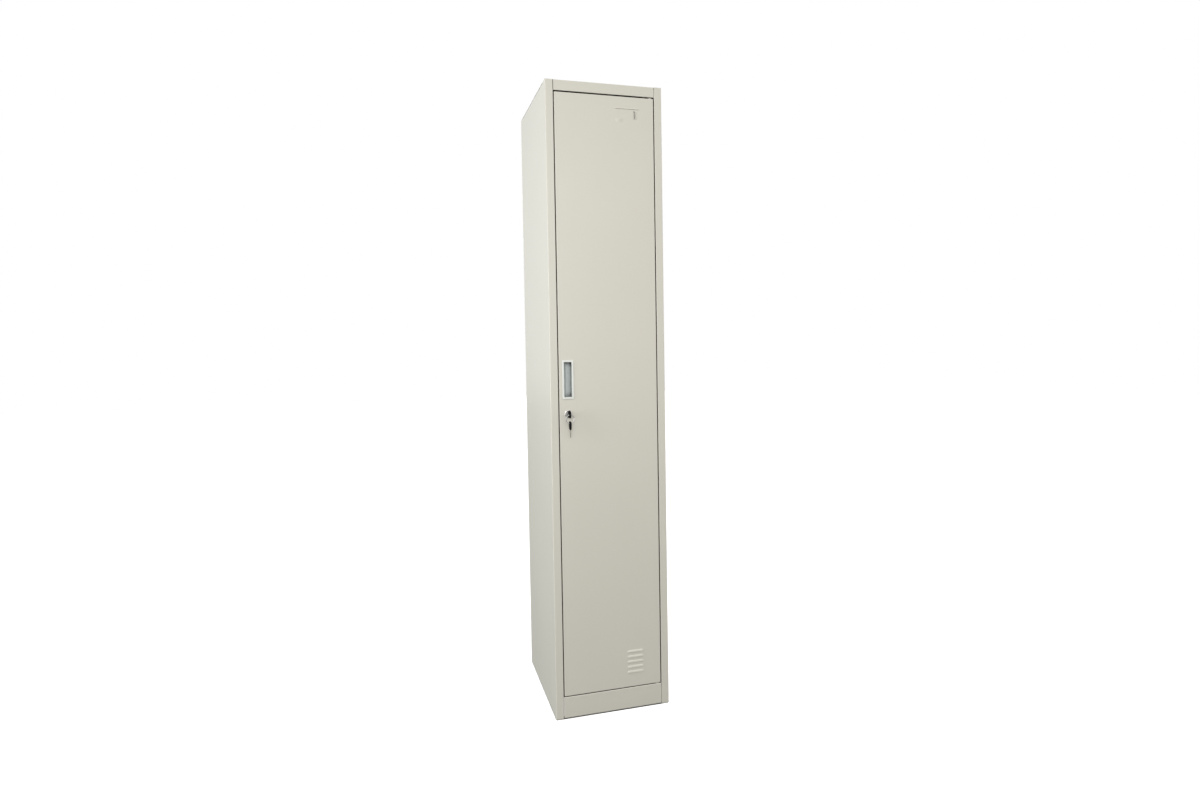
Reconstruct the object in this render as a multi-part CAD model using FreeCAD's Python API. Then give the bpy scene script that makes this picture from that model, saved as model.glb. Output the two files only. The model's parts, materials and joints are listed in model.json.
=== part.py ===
import FreeCAD, Part
import math
import os

# A single-door sheet-steel locker cabinet, in millimetres.
# +X is to the right seen from the front, +Y to the rear and +Z up.
# The origin is on the floor, in the middle of the plan outline with the hanging keys included.

# Driving dimensions of the cabinet
WIDTH = 350.0
DEPTH = 410.0
HEIGHT = 1850.0
SHEET = 0.8
BEND = 1.2
STILE = 23.0
RETURN = 20.0
TOP_RAIL = 30.0
PLINTH = 65.0
PLINTH_LIFT = 2.0
STOP_FLANGE = 12.0
REAR_FLANGE = 15.0
FLOOR_FLANGE = 20.0
BACK_PANEL_LIFT = 10.0
SEAM = 0.9
FIT = 0.3

# Door
SIDE_GAP = 2.5
TOP_GAP = 3.5
BOTTOM_GAP = 2.0
DOOR_DEPTH = 18.0
DOOR_LIP = 12.0

# Lock and keys, measured from the left edge, the floor and the door's face
LOCK_FROM_LEFT = 51.5
LOCK_HEIGHT = 896.5
LOCK_FACE = 2.0
HEAD_GAP = 5.0
HEAD_LENGTH = 25.0
HEAD_WIDTH = 22.0
HEAD_THICKNESS = 3.6
KEY_HOLE_INSET = 7.5
KEY_HOLE_R = 2.5
BLADE_THICKNESS = 2.0
BLADE_WIDTH = 7.4
BLADE_LENGTH = 21.0
RING_R = 12.1
RING_WIRE_R = 0.9

# Places that follow from the driving dimensions
KEY_HOLE_REACH = HEAD_GAP + HEAD_LENGTH - KEY_HOLE_INSET
KEY_REACH = KEY_HOLE_REACH + HEAD_WIDTH / 2
LEFT = -WIDTH / 2
RIGHT = WIDTH / 2
FRONT = (KEY_REACH - DEPTH) / 2
BACK = FRONT + DEPTH
DOOR_LEFT = LEFT + STILE + SIDE_GAP
DOOR_RIGHT = RIGHT - STILE - SIDE_GAP
DOOR_BOTTOM = PLINTH + BOTTOM_GAP
DOOR_TOP = HEIGHT - TOP_RAIL - TOP_GAP
DOOR_BACK = FRONT + DOOR_DEPTH
STOP_Y = FRONT + RETURN
DECK_FRONT = STOP_Y + SHEET + SEAM

# Hinge pivots: the axis is set in from the door's right edge and behind its face
PIVOT_X = DOOR_RIGHT - 10.0
PIVOT_Y = FRONT + 7.5
PIN_R = 3.0
RUNNING_FIT = 0.05
PIN_ENGAGEMENT = 12.0
PLATE = 2.0
BUSH_R = 5.0
BUSH_FLANGE_R = 7.0
RIVET_R = 1.6
WASHER = 0.8
WASHER_R = 6.0

# Lock details
LOCK_X = LEFT + LOCK_FROM_LEFT
PLUG_R = 6.0
PLUG_HEAD_R = 7.2
PLUG_HEAD_DEPTH = 1.6
HOUSING_R = 9.3
HOUSING_FLATS = 16.0
HOUSING_DEPTH = 21.0
LOCK_RING_R = 11.0
CAM_Y = STOP_Y + SHEET + 0.8
CAM_THICKNESS = 2.0
CAM_WIDTH = 14.0
CAM_LENGTH = 27.0
CAM_SQUARE = 7.0
KEYWAY_END = FRONT - HEAD_GAP + BLADE_LENGTH + 0.4

# Where the key in the lock, its ring and the spare key on the ring hang
KEY_BASE = FreeCAD.Vector(LOCK_X, FRONT - HEAD_GAP, LOCK_HEIGHT)
HOLE_Y = FRONT - KEY_HOLE_REACH
HOLE_SLACK = KEY_HOLE_R - RING_WIRE_R - FIT
RING_TOP = LOCK_HEIGHT - HOLE_SLACK
RING_BOTTOM = RING_TOP - 2 * RING_R
SPARE_HOLE = RING_BOTTOM - HOLE_SLACK

# Handle pull
HANDLE_LEFT = LEFT + 35.0
HANDLE_WIDTH = 34.0
HANDLE_BOTTOM = 939.0
HANDLE_HEIGHT = 113.5
HANDLE_PROUD = 2.0
POCKET_INSET = 5.4
POCKET_WIDTH = 22.8
POCKET_END = 6.3
POCKET_DEPTH = 14.0
GRIP_UNDERCUT = 2.5
GRIP_THICKNESS = 3.0
HANDLE_WALL = 1.5

# Louvres and the pressed card holder
LOUVRE_COUNT = 5
LOUVRE_PITCH = 15.5
LOUVRE_LOWEST = 110.0
LOUVRE_X = LEFT + 245.0
LOUVRE_LENGTH = 52.0
LOUVRE_REACH = 6.5
LOUVRE_PROUD = 2.0
LOUVRE_SLIT = 1.0
CARD_LEFT = LEFT + 206.0
CARD_RIGHT = LEFT + 280.0
CARD_TOP = 1781.0
CARD_BOTTOM = 1752.0
CARD_SLIT = 0.4
CARD_TOP_REACH = 4.5
CARD_TOP_PROUD = 1.0
CARD_LIP_MIDDLE = 1763.8
CARD_LIP_INSET = 12.5
CARD_LIP_LENGTH = 26.0
CARD_LIP_PROUD = 1.5
CARD_GROOVE_WIDTH = 5.0
CARD_GROOVE_LENGTH = 23.5
CARD_GROOVE_DEPTH = 1.6
CARD_LIP_REACH = 6.5
CARD_DISH_LENGTH = 25.0
CARD_DISH_REACH = 12.0
CARD_DISH_PROUD = 1.4

# Inside
SHELF_TOP = 1520.0
RAIL_DROP = 60.0
RAIL_R = 8.0
ANGLE_LEG = 15.0
ANGLE_SHEET = 1.2
RAIL_Z = SHELF_TOP - RAIL_DROP
RAIL_BRACKET_X = RIGHT - SHEET - ANGLE_LEG - 12.0
RAIL_SCREW_X = RAIL_BRACKET_X - 14.0
SCREW_R = 1.9
SCREW_HOLE_R = 2.1
SCREW_HEAD_R = 3.8
SCREW_HEAD = 2.0
STUD_R = 2.4
STUD_HOLE_R = 2.7
ANCHOR_HOLE_R = 4.5
ANCHOR_SPACING = 200.0
ANCHOR_HEIGHT = 1740.0
MIDDLE_Y = (FRONT + BACK) / 2

# Rubber buffers on the door stop
BUFFER_X = LEFT + STILE + 7.5
BUFFER_R = 4.0
BUFFER_STEM_R = 1.6
BUFFER_THICKNESS = 1.7

# Flanges, folds and fixings of the panels
TOP_SCREW_X = 80.0
STUD_INSET = 11.0
STUD_FROM_ENDS = 70.0
FLANGE_SETBACK = 10.0
HINGE_SIDE_TAIL = 6.0
BUFFER_FROM_ENDS = 230.0
LID_OVERLAP = 40.0
FASCIA_LIP = 10.0
DECK_HEM = 20.0
PLINTH_FOOT = 12.0
PIN_HOLE_SLIP = 0.2
HOLE_SLIP = 0.1
CLOSE_FIT = 0.05
STUD_LENGTH = 11.0
STUD_NUT_FLATS = 8.0
STUD_NUT_HEIGHT = 4.0

# Deck, shelf and rail details
DECK_SCREW_FRONT = 75.0
DECK_SCREW_REAR = 60.0
ANGLE_DROP = 18.0
ANGLE_FRONT = 50.0
ANGLE_REAR = 20.0
RECESS_EDGE = 1.6
RECESS_HALF = 0.4
RECESS_DEPTH = 1.1
DECK_SCREW_LENGTH = 10.0
RAIL_SCREW_LENGTH = 9.0
REAR_SCREW_LENGTH = 7.0
SHELF_SETBACK = 34.0
SHELF_REAR_GAP = 10.0
SHELF_REAR_DROP = 15.0
SHELF_FRONT_DROP = 25.0
SHELF_HEM = 10.0
BRACKET_TAB = 26.0
BRACKET_BELOW_RAIL = 15.0
BRACKET_HALF = 14.0
RAIL_PAST_BRACKET = 5.0
CAP_SPIGOT = 8.0

# Hinge details
RIVET_PITCH = 9.0
RIVET_HEAD_R = RIVET_R + 1.2
RIVET_HEAD = 0.7
PIN_HEAD_R = PIN_R + 1.8
PIN_HEAD = 1.6
PIN_TIP_ROUND = 0.8
PLATE_INWARD = 24.0
PLATE_OUTWARD = 8.0

# Door stiffener
STIFFENER_LEFT = LEFT + 125.0
STIFFENER_CROWN = 40.0
STIFFENER_BRIM = 12.0
STIFFENER_END = 20.0

# Key cuts and edges
NOTCH_FIRST = 5.5
NOTCH_PITCH = 4.0
NOTCH_DEPTHS = (1.2, 2.0, 0.8, 1.6)
NOTCH_WIDE = 1.8
NOTCH_NARROW = 0.6
BLADE_IN_HEAD = 10.0
HEAD_CORNER = 9.0
HEAD_EDGE = 1.2

# Lock fits and edges
LOCK_NUT_FLATS = 24.0
LOCK_NUT_HEIGHT = 3.5
KEYWAY_SLACK = 0.2

RIGHTWARD = (1, 0, 0)
REARWARD = (0, 1, 0)
FORWARD = (0, -1, 0)
UPWARD = (0, 0, 1)
DOWNWARD = (0, 0, -1)


# ---- Shape helpers ----

def block(low, high):
    """A rectangular block between two opposite corners."""
    size = [b - a for a, b in zip(low, high)]
    return Part.makeBox(size[0], size[1], size[2], FreeCAD.Vector(*low))


def rod(radius, start, direction, length):
    """A round bar from its start point along a direction."""
    return Part.makeCylinder(radius, length, FreeCAD.Vector(*start), FreeCAD.Vector(*direction))


def hexagon(across_flats, start, direction, length):
    """A hexagonal bar for nuts, standing on its start point."""
    corner_r = across_flats / math.sqrt(3)
    corners = [
        FreeCAD.Vector(corner_r * math.cos(math.radians(a)), corner_r * math.sin(math.radians(a)), 0)
        for a in range(0, 361, 60)
    ]
    bar = Part.Face(Part.makePolygon(corners)).extrude(FreeCAD.Vector(0, 0, length))
    turn = FreeCAD.Rotation(FreeCAD.Vector(0, 0, 1), FreeCAD.Vector(*direction))
    bar.Placement = FreeCAD.Placement(FreeCAD.Vector(*start), turn)
    return bar


def joined(shapes):
    """One solid from overlapping or touching ones."""
    first = shapes[0]
    return first.multiFuse(shapes[1:]).removeSplitter()


def rounded(shape, radius, wanted):
    """The shape with every straight or curved edge that passes the wanted test filleted."""
    edges = [edge for edge in shape.Edges if wanted(edge)]
    return shape.makeFillet(radius, edges)


def mirrored(shape):
    """The same shape on the other side of the cabinet's middle plane."""
    return shape.mirror(FreeCAD.Vector(0, 0, 0), FreeCAD.Vector(1, 0, 0))


def save(name, shape):
    shape.exportStep("parts/" + name + ".step")


# ---- Folded sheet ----

def moved_left(points, distance):
    """The corners of an open flat path moved sideways to the left of travel."""
    directions = [(b - a).normalize() for a, b in zip(points, points[1:])]
    normals = [FreeCAD.Vector(-d.y, d.x, 0) for d in directions]
    result = [points[0] + normals[0] * distance]
    for corner, before, after in zip(points[1:], normals, normals[1:]):
        result.append(corner + (before + after) * (distance / (1 + before.dot(after))))
    result.append(points[-1] + normals[-1] * distance)
    return result


def rounded_path(points, radii):
    """Edges along an open path, with an arc at each inner corner."""
    edges = []
    here = points[0]
    for before, corner, after, radius in zip(points, points[1:], points[2:], radii):
        to_before = (before - corner).normalize()
        to_after = (after - corner).normalize()
        half_angle = to_before.getAngle(to_after) / 2
        bisector = (to_before + to_after).normalize()
        arc_start = corner + to_before * (radius / math.tan(half_angle))
        arc_end = corner + to_after * (radius / math.tan(half_angle))
        arc_middle = corner + bisector * (radius / math.sin(half_angle) - radius)
        edges.append(Part.makeLine(here, arc_start))
        edges.append(Part.Arc(arc_start, arc_middle, arc_end).toShape())
        here = arc_end
    edges.append(Part.makeLine(here, points[-1]))
    return edges


def folded_sheet(path, plane, low, high, thickness=SHEET):
    """Sheet bent along a path in the "xy", "yz" or "xz" plane, run from low to high across it.

    The path is one face of the sheet, and the thickness lies to the left of travel.
    """
    face_side = [FreeCAD.Vector(u, v, 0) for u, v in path]
    other_side = moved_left(face_side, thickness)
    steps = [b - a for a, b in zip(face_side, face_side[1:])]
    turns_left = [a.x * b.y - a.y * b.x > 0 for a, b in zip(steps, steps[1:])]
    face_radii = [BEND + thickness if left else BEND for left in turns_left]
    other_radii = [BEND if left else BEND + thickness for left in turns_left]
    edges = rounded_path(face_side, face_radii) + rounded_path(other_side, other_radii)
    edges.append(Part.makeLine(face_side[0], other_side[0]))
    edges.append(Part.makeLine(face_side[-1], other_side[-1]))
    profile = Part.Face(Part.Wire(Part.__sortEdges__(edges)))
    if plane == "xz":
        low, high = -high, -low
    sheet = profile.extrude(FreeCAD.Vector(0, 0, high - low))
    sheet.translate(FreeCAD.Vector(0, 0, low))
    turns = {
        "xy": FreeCAD.Rotation(),
        "yz": FreeCAD.Rotation(FreeCAD.Vector(1, 1, 1), 120),
        "xz": FreeCAD.Rotation(FreeCAD.Vector(1, 0, 0), 90),
    }
    sheet.Placement = FreeCAD.Placement(FreeCAD.Vector(), turns[plane]).multiply(sheet.Placement)
    return sheet


# ---- Cabinet shell ----

def rear_screw_heights():
    """Heights of the screws that hold the back panel to each side panel."""
    count = 5
    lowest = 90.0
    highest = HEIGHT - 60.0
    return [lowest + i * (highest - lowest) / (count - 1) for i in range(count)]


def rear_screw_points():
    side_x = RIGHT - REAR_FLANGE / 2 - 1
    points = [(hand * side_x, z) for hand in (-1, 1) for z in rear_screw_heights()]
    top_row = [(x, HEIGHT - REAR_FLANGE / 2 - 1) for x in (-TOP_SCREW_X, TOP_SCREW_X)]
    return points + top_row


def stud_points():
    """Where the lid's weld studs pass the side panels' top flanges."""
    side_x = RIGHT - STUD_INSET
    depths = (FRONT + STUD_FROM_ENDS, BACK - STUD_FROM_ENDS)
    return [(hand * side_x, y) for hand in (-1, 1) for y in depths]


def side_panel_at_left(tail_x):
    """Side sheet with its front upright; the upright's last flange ends at tail_x."""
    top = HEIGHT - SHEET
    upright_path = [
        (LEFT + REAR_FLANGE, BACK),
        (LEFT, BACK),
        (LEFT, FRONT),
        (LEFT + STILE, FRONT),
        (LEFT + STILE, STOP_Y),
        (tail_x, STOP_Y),
    ]
    wrap = folded_sheet(upright_path, "xy", 0.0, top)
    flange_front = STOP_Y + FLANGE_SETBACK
    flange_back = BACK - REAR_FLANGE - 3.0
    flanges_path = [
        (LEFT + FLOOR_FLANGE, top),
        (LEFT, top),
        (LEFT, 0.0),
        (LEFT + FLOOR_FLANGE, 0.0),
    ]
    flanges = folded_sheet(flanges_path, "xz", flange_front, flange_back)
    bend_zone = BEND + SHEET
    for z in (0.0, top - bend_zone):
        room = block((LEFT - 1, flange_front, z), (LEFT + STILE - 2, flange_back, z + bend_zone))
        wrap = wrap.cut(room)
    return joined([wrap, flanges])


def with_fixing_holes(panel):
    """Cut the rear screw holes and the stud holes that fall on a side panel."""
    for x, z in rear_screw_points():
        panel = panel.cut(rod(SCREW_HOLE_R, (x, BACK - 2, z), REARWARD, 4))
    for x, y in stud_points():
        panel = panel.cut(rod(STUD_HOLE_R, (x, y, HEIGHT - 4), UPWARD, 4))
    return panel


def buffer_heights():
    return [DOOR_BOTTOM + BUFFER_FROM_ENDS, DOOR_TOP - BUFFER_FROM_ENDS]


def left_side_panel():
    """Latch side: the upright's last flange is the door stop that the lock's cam hooks behind."""
    stop_tip = LEFT + STILE + STOP_FLANGE
    panel = side_panel_at_left(stop_tip)
    low_room = block((LEFT + STILE, STOP_Y - 2, -1), (stop_tip + 1, STOP_Y + 2, PLINTH + 1))
    high_room = block((LEFT + STILE, STOP_Y - 2, DOOR_TOP), (stop_tip + 1, STOP_Y + 2, HEIGHT))
    panel = panel.cut(low_room).cut(high_room)
    for z in buffer_heights():
        panel = panel.cut(rod(BUFFER_STEM_R + HOLE_SLIP, (BUFFER_X, STOP_Y - 1, z), REARWARD, 3))
    return with_fixing_holes(panel)


def right_side_panel():
    """Hinge side: the upright's last flange turns back towards the side sheet."""
    panel = mirrored(side_panel_at_left(LEFT + HINGE_SIDE_TAIL))
    return with_fixing_holes(panel)


def top_panel():
    """Lid sheet over both sides, with the fascia above the door and a rear flange."""
    lid = block((LEFT, FRONT, HEIGHT - SHEET), (RIGHT, BACK, HEIGHT))
    bend_zone = BEND + SHEET
    lid = lid.cut(block((LEFT + STILE, FRONT - 1, 0), (RIGHT - STILE, FRONT + bend_zone, HEIGHT + 1)))
    rear_x = RIGHT - REAR_FLANGE - 1
    lid = lid.cut(block((-rear_x - SEAM, BACK - bend_zone, 0), (rear_x + SEAM, BACK + 1, HEIGHT + 1)))
    fascia_bottom = HEIGHT - TOP_RAIL
    fascia_return = STOP_Y - 2.0
    fascia_path = [
        (FRONT + LID_OVERLAP, HEIGHT),
        (FRONT, HEIGHT),
        (FRONT, fascia_bottom),
        (fascia_return, fascia_bottom),
        (fascia_return, fascia_bottom + FASCIA_LIP),
    ]
    fascia_x = RIGHT - STILE - SEAM
    fascia = folded_sheet(fascia_path, "yz", -fascia_x, fascia_x)
    rear_path = [(BACK, HEIGHT - REAR_FLANGE), (BACK, HEIGHT), (BACK - LID_OVERLAP, HEIGHT)]
    rear = folded_sheet(rear_path, "yz", -rear_x, rear_x)
    panel = joined([lid, fascia, rear])
    panel = panel.cut(rod(PIN_R + PIN_HOLE_SLIP, (PIVOT_X, PIVOT_Y, fascia_bottom - 1), UPWARD, 3))
    for x, y in rivet_points():
        panel = panel.cut(rod(RIVET_R + HOLE_SLIP, (x, y, fascia_bottom - 1), UPWARD, 3))
    for x, z in rear_screw_points():
        panel = panel.cut(rod(SCREW_HOLE_R, (x, BACK - 2, z), REARWARD, 4))
    return panel


def bottom_panel():
    """Floor sheet whose front edge is folded down into the plinth below the door."""
    rear_y = BACK - 2 * SHEET - FIT
    plinth_x = RIGHT - STILE - SEAM
    plinth_path = [
        (rear_y, PLINTH - DECK_HEM),
        (rear_y, PLINTH),
        (FRONT, PLINTH),
        (FRONT, PLINTH_LIFT),
        (FRONT + PLINTH_FOOT, PLINTH_LIFT),
    ]
    plinth = folded_sheet(plinth_path, "yz", -plinth_x, plinth_x)
    deck_x = RIGHT - SHEET - FIT
    deck = block((-deck_x, DECK_FRONT, PLINTH - SHEET), (deck_x, rear_y - 4, PLINTH))
    panel = joined([plinth, deck])
    panel = panel.cut(rod(PIN_R + PIN_HOLE_SLIP, (PIVOT_X, PIVOT_Y, PLINTH - 2), UPWARD, 4))
    for x, y in rivet_points():
        panel = panel.cut(rod(RIVET_R + HOLE_SLIP, (x, y, PLINTH - 2), UPWARD, 4))
    return with_deck_holes(panel, PLINTH)


def back_panel():
    """Plain rear sheet, behind which the side panels' flanges close; two holes take wall anchors."""
    edge_room = SHEET + BEND + FIT
    side_x = RIGHT - edge_room
    low = (-side_x, BACK - 2 * SHEET, BACK_PANEL_LIFT)
    high = (side_x, BACK - SHEET, HEIGHT - edge_room)
    panel = block(low, high)
    for x, z in rear_screw_points():
        panel = panel.cut(rod(SCREW_HOLE_R, (x, BACK - 3, z), REARWARD, 4))
    for hand in (-1, 1):
        hole = rod(ANCHOR_HOLE_R, (hand * ANCHOR_SPACING / 2, BACK - 3, ANCHOR_HEIGHT), REARWARD, 4)
        panel = panel.cut(hole)
    return panel


# ---- Decks: the floor and the hat shelf sit on angles along the sides ----

def deck_screw_points():
    side_x = RIGHT - SHEET - ANGLE_LEG / 2 - 1
    depths = (FRONT + DECK_SCREW_FRONT, BACK - DECK_SCREW_REAR)
    return [(hand * side_x, y) for hand in (-1, 1) for y in depths]


def with_deck_holes(sheet, top):
    for x, y in deck_screw_points():
        sheet = sheet.cut(rod(SCREW_HOLE_R, (x, y, top - 3), UPWARD, 5))
    return sheet


def support_angles(under):
    """The pair of welded angles that a deck rests on; under is the deck's lower face."""
    side = LEFT + SHEET
    path = [(side + ANGLE_LEG, under), (side, under), (side, under - ANGLE_DROP)]
    left = folded_sheet(path, "xz", FRONT + ANGLE_FRONT, BACK - ANGLE_REAR, ANGLE_SHEET)
    pair = [left, mirrored(left)]
    return Part.makeCompound([with_deck_holes(angle, under) for angle in pair])


def cross_recess():
    """Tool for the cross slot of a screw head whose top is at the origin, facing +Z."""
    arm = SCREW_HEAD_R - RECESS_EDGE
    slot = block((-arm, -RECESS_HALF, -RECESS_DEPTH), (arm, RECESS_HALF, 1))
    other = block((-RECESS_HALF, -arm, -RECESS_DEPTH), (RECESS_HALF, arm, 1))
    return slot.fuse(other)


def pan_screw(start, direction, length):
    """A pan-head screw driven along direction from a point on a face."""
    shank = rod(SCREW_R, start, direction, length)
    away = tuple(-part for part in direction)
    head = rod(SCREW_HEAD_R, start, away, SCREW_HEAD)
    far_face = FreeCAD.Vector(*start) + FreeCAD.Vector(*away) * SCREW_HEAD
    head = rounded(head, 1.0, lambda edge: edge.CenterOfMass.distanceToPoint(far_face) < 0.01)
    recess = cross_recess()
    turn = FreeCAD.Rotation(FreeCAD.Vector(*UPWARD), FreeCAD.Vector(*away))
    recess.Placement = FreeCAD.Placement(far_face, turn)
    return joined([head, shank]).cut(recess)


def deck_screws(top):
    points = deck_screw_points()
    return Part.makeCompound([pan_screw((x, y, top), DOWNWARD, DECK_SCREW_LENGTH) for x, y in points])


def hat_shelf():
    """Shelf with a deep front flange and a rear flange."""
    front_y = FRONT + SHELF_SETBACK
    rear_y = BACK - SHELF_REAR_GAP
    path = [
        (rear_y, SHELF_TOP - SHELF_REAR_DROP),
        (rear_y, SHELF_TOP),
        (front_y, SHELF_TOP),
        (front_y, SHELF_TOP - SHELF_FRONT_DROP),
        (front_y + SHELF_HEM, SHELF_TOP - SHELF_FRONT_DROP),
    ]
    side_x = RIGHT - SHEET - FIT
    shelf = with_deck_holes(folded_sheet(path, "yz", -side_x, side_x), SHELF_TOP)
    for hand in (-1, 1):
        hole = rod(SCREW_HOLE_R, (hand * RAIL_SCREW_X, MIDDLE_Y, SHELF_TOP - 3), UPWARD, 5)
        shelf = shelf.cut(hole)
    return shelf


# ---- Coat rail, hung under the shelf ----


def rail_brackets():
    """Drop brackets, screwed under the shelf, with a hole that carries the rail."""
    under = SHELF_TOP - SHEET
    path = [
        (-RAIL_BRACKET_X + BRACKET_TAB, under),
        (-RAIL_BRACKET_X, under),
        (-RAIL_BRACKET_X, RAIL_Z - BRACKET_BELOW_RAIL),
    ]
    left = folded_sheet(path, "xz", MIDDLE_Y - BRACKET_HALF, MIDDLE_Y + BRACKET_HALF, ANGLE_SHEET)
    left = left.cut(rod(RAIL_R + HOLE_SLIP, (-RIGHT, MIDDLE_Y, RAIL_Z), RIGHTWARD, 100))
    left = left.cut(rod(SCREW_HOLE_R, (-RAIL_SCREW_X, MIDDLE_Y, under - 3), UPWARD, 5))
    return Part.makeCompound([left, mirrored(left)])


def coat_rail():
    half = RAIL_BRACKET_X + RAIL_PAST_BRACKET
    outside = rod(RAIL_R, (-half, MIDDLE_Y, RAIL_Z), RIGHTWARD, 2 * half)
    bore = rod(RAIL_R - 1.0, (-half - 1, MIDDLE_Y, RAIL_Z), RIGHTWARD, 2 * half + 2)
    return outside.cut(bore)


def rail_end_caps():
    """Push-in caps whose rims keep the rail between its brackets."""
    half = RAIL_BRACKET_X + RAIL_PAST_BRACKET
    rim = rod(RAIL_R + 1.5, (half, MIDDLE_Y, RAIL_Z), RIGHTWARD, 1.6)
    spigot = rod(RAIL_R - 1.0, (half - CAP_SPIGOT, MIDDLE_Y, RAIL_Z), RIGHTWARD, CAP_SPIGOT)
    right = joined([rim, spigot])
    return Part.makeCompound([right, mirrored(right)])


def rail_screws():
    points = [(hand * RAIL_SCREW_X, MIDDLE_Y) for hand in (-1, 1)]
    return Part.makeCompound([pan_screw((x, y, SHELF_TOP), DOWNWARD, RAIL_SCREW_LENGTH) for x, y in points])


# ---- Shell fasteners ----

def rear_screws():
    points = rear_screw_points()
    return Part.makeCompound([pan_screw((x, BACK, z), FORWARD, REAR_SCREW_LENGTH) for x, z in points])


def lid_studs():
    """Studs welded under the lid sheet."""
    under = HEIGHT - SHEET
    return Part.makeCompound([rod(STUD_R, (x, y, under), DOWNWARD, STUD_LENGTH)
                              for x, y in stud_points()])


def lid_nuts():
    def nut(x, y):
        top = HEIGHT - 2 * SHEET
        bore = rod(STUD_R + CLOSE_FIT, (x, y, top + 1), DOWNWARD, 8)
        return hexagon(STUD_NUT_FLATS, (x, y, top), DOWNWARD, STUD_NUT_HEIGHT).cut(bore)

    return Part.makeCompound([nut(x, y) for x, y in stud_points()])


# ---- Door stops ----


def door_buffers():
    """Rubber buttons pushed into the stop flange, which the closed door meets."""
    def button(z):
        pad = rod(BUFFER_R, (BUFFER_X, STOP_Y, z), FORWARD, BUFFER_THICKNESS)
        pad = rounded(pad, 0.6, lambda edge: edge.CenterOfMass.y < STOP_Y - BUFFER_THICKNESS + 0.01)
        stem = rod(BUFFER_STEM_R, (BUFFER_X, STOP_Y, z), REARWARD, 3.0)
        bead = Part.makeCone(BUFFER_STEM_R + 0.8, 0.8, 2.2, FreeCAD.Vector(BUFFER_X, STOP_Y + SHEET, z),
                             FreeCAD.Vector(*REARWARD))
        return joined([pad, stem, bead])

    return Part.makeCompound([button(z) for z in buffer_heights()])


# ---- Hinge pivots ----


def rivet_points():
    return [(PIVOT_X - RIVET_PITCH * step, PIVOT_Y) for step in (1, 2)]


def hinge_plate(low_z):
    """Stiffening plate riveted where a pivot pin passes the sheet."""
    low = (PIVOT_X - PLATE_INWARD, FRONT + 2.5, low_z)
    high = (PIVOT_X + PLATE_OUTWARD, FRONT + 14.0, low_z + PLATE)
    plate = block(low, high)
    plate = rounded(plate, 3.0, lambda edge: abs(edge.tangentAt(0).z) > 0.9)
    plate = plate.cut(rod(PIN_R + RUNNING_FIT, (PIVOT_X, PIVOT_Y, low_z - 1), UPWARD, PLATE + 2))
    for x, y in rivet_points():
        plate = plate.cut(rod(RIVET_R + HOLE_SLIP, (x, y, low_z - 1), UPWARD, PLATE + 2))
    return plate


def top_hinge_plate():
    return hinge_plate(HEIGHT - TOP_RAIL + SHEET)


def bottom_hinge_plate():
    return hinge_plate(PLINTH - SHEET - PLATE)


def rivet(x, y, low_z, high_z):
    """A flat rivet whose heads close on two faces."""
    shank = rod(RIVET_R, (x, y, low_z), UPWARD, high_z - low_z)
    low_head = rod(RIVET_HEAD_R, (x, y, low_z), DOWNWARD, RIVET_HEAD)
    high_head = rod(RIVET_HEAD_R, (x, y, high_z), UPWARD, RIVET_HEAD)
    return joined([shank, low_head, high_head])


def hinge_rivets():
    top_low = HEIGHT - TOP_RAIL
    bottom_high = PLINTH
    grip = SHEET + PLATE
    rivets = [rivet(x, y, top_low, top_low + grip) for x, y in rivet_points()]
    rivets += [rivet(x, y, bottom_high - grip, bottom_high) for x, y in rivet_points()]
    return Part.makeCompound(rivets)


def top_hinge_pin():
    """Headed pin dropped through the top plate into the door's bush."""
    seat = HEIGHT - TOP_RAIL + SHEET + PLATE
    tip = DOOR_TOP - PIN_ENGAGEMENT
    shank = rod(PIN_R, (PIVOT_X, PIVOT_Y, tip), UPWARD, seat - tip)
    shank = rounded(shank, PIN_TIP_ROUND, lambda edge: edge.CenterOfMass.z < tip + 0.01)
    return joined([shank, rod(PIN_HEAD_R, (PIVOT_X, PIVOT_Y, seat), UPWARD, PIN_HEAD)])


def bottom_hinge_pin():
    """Headed pin standing up through the floor sheet, on which the door turns."""
    seat = PLINTH - SHEET - PLATE
    tip = DOOR_BOTTOM + PIN_ENGAGEMENT
    shank = rod(PIN_R, (PIVOT_X, PIVOT_Y, seat), UPWARD, tip - seat)
    shank = rounded(shank, PIN_TIP_ROUND, lambda edge: edge.CenterOfMass.z > tip - 0.01)
    return joined([shank, rod(PIN_HEAD_R, (PIVOT_X, PIVOT_Y, seat), DOWNWARD, PIN_HEAD)])


def hinge_washer():
    ring = rod(WASHER_R, (PIVOT_X, PIVOT_Y, PLINTH), UPWARD, WASHER)
    return ring.cut(rod(PIN_R + RUNNING_FIT, (PIVOT_X, PIVOT_Y, PLINTH - 1), UPWARD, 3))


def pivot_bush(face, outward):
    """Nylon bush with a flange outside the door's end flange and a sleeve inside it."""
    inward = tuple(-part for part in outward)
    flange = rod(BUSH_FLANGE_R, (PIVOT_X, PIVOT_Y, face), outward, BOTTOM_GAP / 2)
    sleeve = rod(BUSH_R, (PIVOT_X, PIVOT_Y, face), inward, PIN_ENGAGEMENT)
    bore = rod(PIN_R + RUNNING_FIT, (PIVOT_X, PIVOT_Y, face - 20), UPWARD, 40)
    return joined([flange, sleeve]).cut(bore)


def top_pivot_bush():
    return pivot_bush(DOOR_TOP, UPWARD)


def bottom_pivot_bush():
    return pivot_bush(DOOR_BOTTOM, DOWNWARD)


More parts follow.
